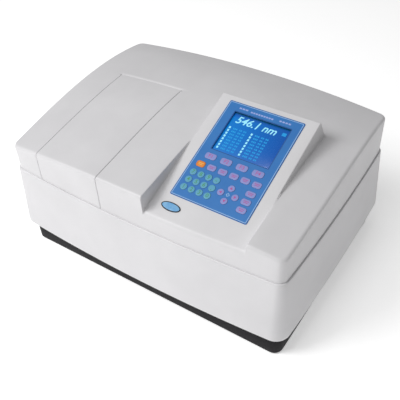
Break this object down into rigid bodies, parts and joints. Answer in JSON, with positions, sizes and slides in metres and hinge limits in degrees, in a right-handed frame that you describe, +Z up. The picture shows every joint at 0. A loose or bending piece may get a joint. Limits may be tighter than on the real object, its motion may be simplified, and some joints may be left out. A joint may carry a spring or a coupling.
{
  "type": "benchtop spectrophotometer",
  "caption": "Double-beam bench spectrophotometer: crowned casing, hinged sample lid, tilted keypad and display, optics and lamps inside.",
  "frame": {"origin": "on the bench top, under the middle of the case", "axes": "+X to the instrument's right, -Y towards the user, +Z up"},
  "size_m": [0.629, 0.467, 0.3324],
  "materials": {
    "casing": "fine moulded texture, warm white",
    "base_black": "moulded black",
    "rubber": "matt",
    "screw_steel": "plain",
    "chamber_black": "matt black, against stray light",
    "overlay_blue": "satin printed film",
    "display_blue": "backlit blue under a clear pane",
    "circuit_board": "solder mask",
    "badge_plate": "domed resin in a dark rim",
    "panel_paint": "powder coat",
    "black_plastic": "moulded black",
    "cast_aluminium": "as cast and machined",
    "mirror": "front-coated",
    "bright_steel": "folded sheet",
    "lamp_glass": "clear quartz",
    "key_green": "printed film",
    "key_lilac": "printed film",
    "key_orange": "printed film"
  },
  "bodies": {
    "instrument": {"badge": "badge_plate", "base_tray": "base_black", "case_screws": "screw_steel", "cell_holders": "chamber_black", "detectors": "black_plastic", "deuterium_lamp": "lamp_glass", "display_module": "display_blue", "fan_frame": "black_plastic", "fixed_mirrors": "mirror", "keypad_board": "circuit_board", "keypad_overlay": "overlay_blue", "lamp_house": "bright_steel", "lid_hinge_pins": "screw_steel", "lower_case": "casing", "main_board": "circuit_board", "monochromator_case": "cast_aluminium", "optical_bench": "cast_aluminium", "power_supply": "bright_steel", "rear_connectors": "black_plastic", "rear_panel": "panel_paint", "rubber_feet": "rubber", "sample_chamber": "chamber_black", "stepper_motors": "black_plastic", "top_cover": "casing", "tungsten_lamp": "lamp_glass"},
    "lid": {"sample_lid": "casing"},
    "rocker": {"power_rocker": "black_plastic"},
    "fan": {"fan_rotor": "black_plastic"},
    "grating": {"grating_turret": "mirror"},
    "filter": {"filter_wheel": "bright_steel"},
    "selector": {"lamp_mirror": "mirror"},
    "key_0_cap": {"key_0": "key_green"},
    "key_1_cap": {"key_1": "key_green"},
    "key_2_cap": {"key_2": "key_green"},
    "key_3_cap": {"key_3": "key_green"},
    "key_4_cap": {"key_4": "key_green"},
    "key_5_cap": {"key_5": "key_green"},
    "key_6_cap": {"key_6": "key_green"},
    "key_7_cap": {"key_7": "key_green"},
    "key_8_cap": {"key_8": "key_green"},
    "key_9_cap": {"key_9": "key_green"},
    "key_clear_cap": {"key_clear": "key_lilac"},
    "key_down_cap": {"key_down": "key_lilac"},
    "key_enter_cap": {"key_enter": "key_lilac"},
    "key_f1_cap": {"key_f1": "key_lilac"},
    "key_f2_cap": {"key_f2": "key_lilac"},
    "key_f3_cap": {"key_f3": "key_lilac"},
    "key_f4_cap": {"key_f4": "key_lilac"},
    "key_function_1_cap": {"key_function_1": "key_lilac"},
    "key_function_2_cap": {"key_function_2": "key_lilac"},
    "key_function_3_cap": {"key_function_3": "key_lilac"},
    "key_function_4_cap": {"key_function_4": "key_lilac"},
    "key_function_5_cap": {"key_function_5": "key_lilac"},
    "key_left_cap": {"key_left": "key_lilac"},
    "key_minus_cap": {"key_minus": "key_green"},
    "key_point_cap": {"key_point": "key_green"},
    "key_return_cap": {"key_return": "key_orange"},
    "key_right_cap": {"key_right": "key_lilac"},
    "key_start_cap": {"key_start": "key_lilac"},
    "key_up_cap": {"key_up": "key_lilac"}
  },
  "joints": [
    {"name": "lid_hinge", "type": "hinge", "parent": "instrument", "child": "lid", "pos_m": [-0.1485, 0.016, 0.2855], "axis": [-1, 0, 0], "range_deg": [0, 80]},
    {"name": "power_switch", "type": "hinge", "parent": "instrument", "child": "rocker", "pos_m": [-0.092, 0.207, 0.118], "axis": [1, 0, 0], "range_deg": [0, 14]},
    {"name": "grating_turn", "type": "hinge", "parent": "instrument", "child": "grating", "pos_m": [0.02, 0.06, 0.1], "axis": [0, 0, 1], "range_deg": [-40, 40]},
    {"name": "lamp_select", "type": "hinge", "parent": "instrument", "child": "selector", "pos_m": [0.165, 0.1, 0.11], "axis": [0, 0, 1], "range_deg": [0, 50]},
    {"name": "fan_spin", "type": "hinge", "parent": "instrument", "child": "fan", "pos_m": [0.15, 0.199, 0.132], "axis": [0, 1, 0], "continuous": true},
    {"name": "filter_spin", "type": "hinge", "parent": "instrument", "child": "filter", "pos_m": [0.09, 0.1, 0.126], "axis": [1, 0, 0], "continuous": true},
    {"name": "key_f1_press", "type": "slide", "parent": "instrument", "child": "key_f1_cap", "axis": [0, 0.3345, -0.9424], "range_m": [0, 0.0006], "stiffness_N_per_m": 1500},
    {"name": "key_f2_press", "type": "slide", "parent": "instrument", "child": "key_f2_cap", "axis": [0, 0.3345, -0.9424], "range_m": [0, 0.0006], "stiffness_N_per_m": 1500},
    {"name": "key_f3_press", "type": "slide", "parent": "instrument", "child": "key_f3_cap", "axis": [0, 0.3345, -0.9424], "range_m": [0, 0.0006], "stiffness_N_per_m": 1500},
    {"name": "key_f4_press", "type": "slide", "parent": "instrument", "child": "key_f4_cap", "axis": [0, 0.3345, -0.9424], "range_m": [0, 0.0006], "stiffness_N_per_m": 1500},
    {"name": "key_return_press", "type": "slide", "parent": "instrument", "child": "key_return_cap", "axis": [0, 0.3345, -0.9424], "range_m": [0, 0.0006], "stiffness_N_per_m": 1500},
    {"name": "key_function_1_press", "type": "slide", "parent": "instrument", "child": "key_function_1_cap", "axis": [0, 0.3345, -0.9424], "range_m": [0, 0.0006], "stiffness_N_per_m": 1500},
    {"name": "key_function_2_press", "type": "slide", "parent": "instrument", "child": "key_function_2_cap", "axis": [0, 0.3345, -0.9424], "range_m": [0, 0.0006], "stiffness_N_per_m": 1500},
    {"name": "key_function_3_press", "type": "slide", "parent": "instrument", "child": "key_function_3_cap", "axis": [0, 0.3345, -0.9424], "range_m": [0, 0.0006], "stiffness_N_per_m": 1500},
    {"name": "key_function_4_press", "type": "slide", "parent": "instrument", "child": "key_function_4_cap", "axis": [0, 0.3345, -0.9424], "range_m": [0, 0.0006], "stiffness_N_per_m": 1500},
    {"name": "key_function_5_press", "type": "slide", "parent": "instrument", "child": "key_function_5_cap", "axis": [0, 0.3345, -0.9424], "range_m": [0, 0.0006], "stiffness_N_per_m": 1500},
    {"name": "key_7_press", "type": "slide", "parent": "instrument", "child": "key_7_cap", "axis": [0, 0.3345, -0.9424], "range_m": [0, 0.0006], "stiffness_N_per_m": 1500},
    {"name": "key_8_press", "type": "slide", "parent": "instrument", "child": "key_8_cap", "axis": [0, 0.3345, -0.9424], "range_m": [0, 0.0006], "stiffness_N_per_m": 1500},
    {"name": "key_9_press", "type": "slide", "parent": "instrument", "child": "key_9_cap", "axis": [0, 0.3345, -0.9424], "range_m": [0, 0.0006], "stiffness_N_per_m": 1500},
    {"name": "key_minus_press", "type": "slide", "parent": "instrument", "child": "key_minus_cap", "axis": [0, 0.3345, -0.9424], "range_m": [0, 0.0006], "stiffness_N_per_m": 1500},
    {"name": "key_4_press", "type": "slide", "parent": "instrument", "child": "key_4_cap", "axis": [0, 0.3345, -0.9424], "range_m": [0, 0.0006], "stiffness_N_per_m": 1500},
    {"name": "key_5_press", "type": "slide", "parent": "instrument", "child": "key_5_cap", "axis": [0, 0.3345, -0.9424], "range_m": [0, 0.0006], "stiffness_N_per_m": 1500},
    {"name": "key_6_press", "type": "slide", "parent": "instrument", "child": "key_6_cap", "axis": [0, 0.3345, -0.9424], "range_m": [0, 0.0006], "stiffness_N_per_m": 1500},
    {"name": "key_point_press", "type": "slide", "parent": "instrument", "child": "key_point_cap", "axis": [0, 0.3345, -0.9424], "range_m": [0, 0.0006], "stiffness_N_per_m": 1500},
    {"name": "key_1_press", "type": "slide", "parent": "instrument", "child": "key_1_cap", "axis": [0, 0.3345, -0.9424], "range_m": [0, 0.0006], "stiffness_N_per_m": 1500},
    {"name": "key_2_press", "type": "slide", "parent": "instrument", "child": "key_2_cap", "axis": [0, 0.3345, -0.9424], "range_m": [0, 0.0006], "stiffness_N_per_m": 1500},
    {"name": "key_3_press", "type": "slide", "parent": "instrument", "child": "key_3_cap", "axis": [0, 0.3345, -0.9424], "range_m": [0, 0.0006], "stiffness_N_per_m": 1500},
    {"name": "key_0_press", "type": "slide", "parent": "instrument", "child": "key_0_cap", "axis": [0, 0.3345, -0.9424], "range_m": [0, 0.0006], "stiffness_N_per_m": 1500},
    {"name": "key_up_press", "type": "slide", "parent": "instrument", "child": "key_up_cap", "axis": [0, 0.3345, -0.9424], "range_m": [0, 0.0006], "stiffness_N_per_m": 1500},
    {"name": "key_left_press", "type": "slide", "parent": "instrument", "child": "key_left_cap", "axis": [0, 0.3345, -0.9424], "range_m": [0, 0.0006], "stiffness_N_per_m": 1500},
    {"name": "key_right_press", "type": "slide", "parent": "instrument", "child": "key_right_cap", "axis": [0, 0.3345, -0.9424], "range_m": [0, 0.0006], "stiffness_N_per_m": 1500},
    {"name": "key_down_press", "type": "slide", "parent": "instrument", "child": "key_down_cap", "axis": [0, 0.3345, -0.9424], "range_m": [0, 0.0006], "stiffness_N_per_m": 1500},
    {"name": "key_clear_press", "type": "slide", "parent": "instrument", "child": "key_clear_cap", "axis": [0, 0.3345, -0.9424], "range_m": [0, 0.0006], "stiffness_N_per_m": 1500},
    {"name": "key_start_press", "type": "slide", "parent": "instrument", "child": "key_start_cap", "axis": [0, 0.3345, -0.9424], "range_m": [0, 0.0006], "stiffness_N_per_m": 1500},
    {"name": "key_enter_press", "type": "slide", "parent": "instrument", "child": "key_enter_cap", "axis": [0, 0.3345, -0.9424], "range_m": [0, 0.0006], "stiffness_N_per_m": 1500}
  ]
}
